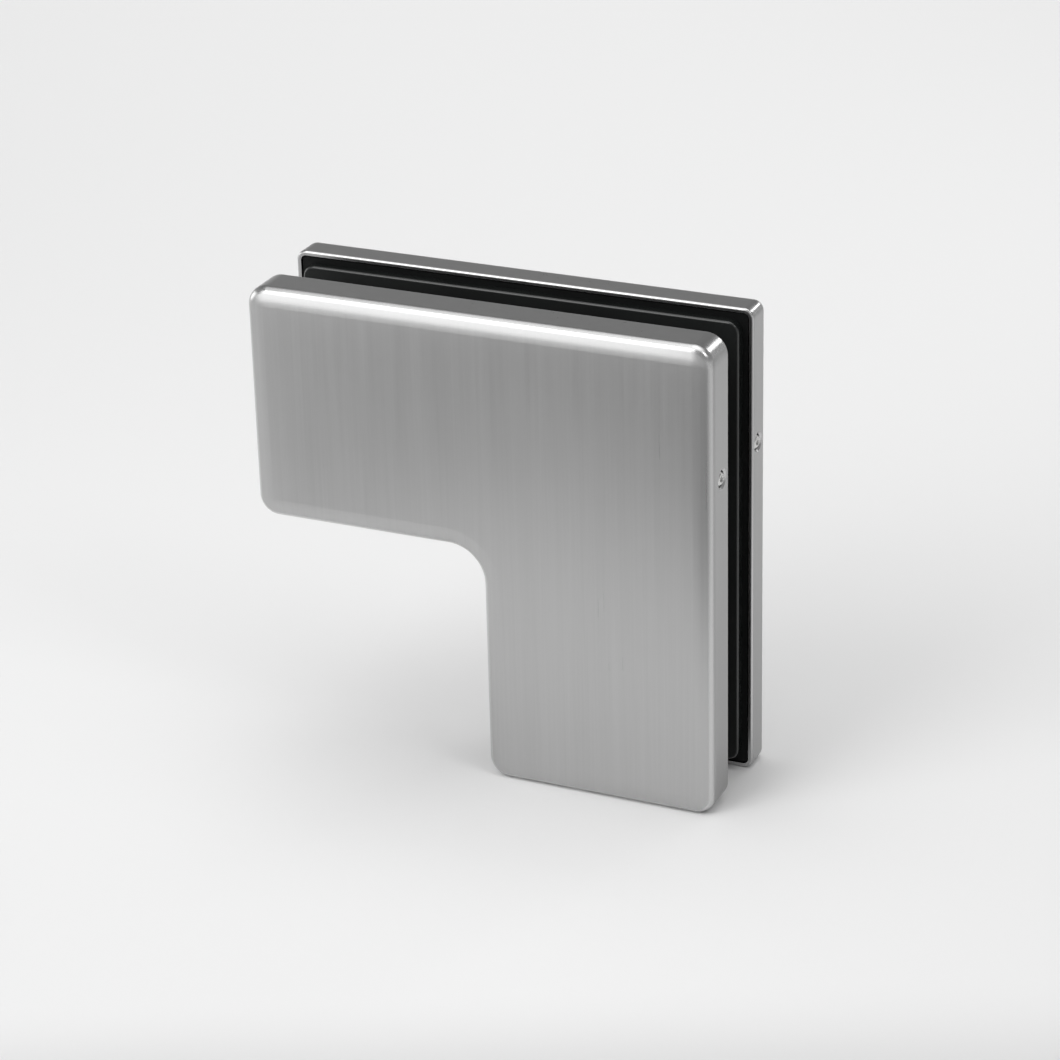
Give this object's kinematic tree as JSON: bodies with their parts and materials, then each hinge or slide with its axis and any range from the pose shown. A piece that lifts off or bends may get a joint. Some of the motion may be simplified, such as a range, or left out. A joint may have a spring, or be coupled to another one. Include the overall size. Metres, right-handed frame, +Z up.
{
  "type": "glass panel connector",
  "caption": "L-shaped clamp fitting that joins frameless glass panels at a corner: satin steel covers over black clamp plates and gaskets, drawn together by bolts.",
  "frame": {"origin": "below the middle of the outline and of the thickness, in the plane of the foot of the upright arm", "axes": "+X along the upper arm towards the corner, +Y through the glass from the front cover to the rear cover, +Z up the upright arm"},
  "size_m": [0.104, 0.0308, 0.105],
  "materials": {
    "satin_steel": "satin",
    "black_casting": "matte",
    "black_rubber": "matte",
    "bolt_steel": "satin",
    "nylon": "satin",
    "screw_steel": "satin"
  },
  "bodies": {
    "front_half": {"front_cover": "satin_steel", "front_clamp_plate": "black_casting", "front_gasket": "black_rubber", "upper_arm_bush": "nylon", "corner_bush": "nylon", "upright_arm_bush": "nylon"},
    "rear_half": {"rear_cover": "satin_steel", "rear_clamp_plate": "black_casting", "rear_gasket": "black_rubber"},
    "upper_arm_bolt": {"upper_arm_bolt": "bolt_steel"},
    "corner_bolt": {"corner_bolt": "bolt_steel"},
    "upright_arm_bolt": {"upright_arm_bolt": "bolt_steel"},
    "front_right_screw": {"front_right_screw": "screw_steel"},
    "front_left_screw": {"front_left_screw": "screw_steel"},
    "rear_right_screw": {"rear_right_screw": "screw_steel"},
    "rear_left_screw": {"rear_left_screw": "screw_steel"}
  },
  "joints": [
    {"name": "clamp_slide", "type": "slide", "parent": "front_half", "child": "rear_half", "axis": [0, 1, 0], "range_m": [-0.0015, 0.0015]},
    {"name": "upper_arm_bolt_turn", "type": "hinge", "parent": "front_half", "child": "upper_arm_bolt", "pos_m": [-0.026, 0, 0.079], "axis": [0, 1, 0], "range_deg": [-540, 540]},
    {"name": "corner_bolt_turn", "type": "hinge", "parent": "front_half", "child": "corner_bolt", "pos_m": [0.026, 0, 0.079], "axis": [0, 1, 0], "range_deg": [-540, 540]},
    {"name": "upright_arm_bolt_turn", "type": "hinge", "parent": "front_half", "child": "upright_arm_bolt", "pos_m": [0.026, 0, 0.026], "axis": [0, 1, 0], "range_deg": [-540, 540]},
    {"name": "front_right_screw_travel", "type": "slide", "parent": "front_half", "child": "front_right_screw", "axis": [1, 0, 0], "range_m": [-0.0015, 0]},
    {"name": "front_left_screw_travel", "type": "slide", "parent": "front_half", "child": "front_left_screw", "axis": [-1, 0, 0], "range_m": [-0.0015, 0]},
    {"name": "rear_right_screw_travel", "type": "slide", "parent": "rear_half", "child": "rear_right_screw", "axis": [1, 0, 0], "range_m": [-0.0015, 0]},
    {"name": "rear_left_screw_travel", "type": "slide", "parent": "rear_half", "child": "rear_left_screw", "axis": [-1, 0, 0], "range_m": [-0.0015, 0]}
  ],
  "couplings": [
    {"joint": "upper_arm_bolt_turn", "follows": "clamp_slide", "rad_per_m": -6283.2},
    {"joint": "corner_bolt_turn", "follows": "clamp_slide", "rad_per_m": -6283.2},
    {"joint": "upright_arm_bolt_turn", "follows": "clamp_slide", "rad_per_m": -6283.2}
  ]
}
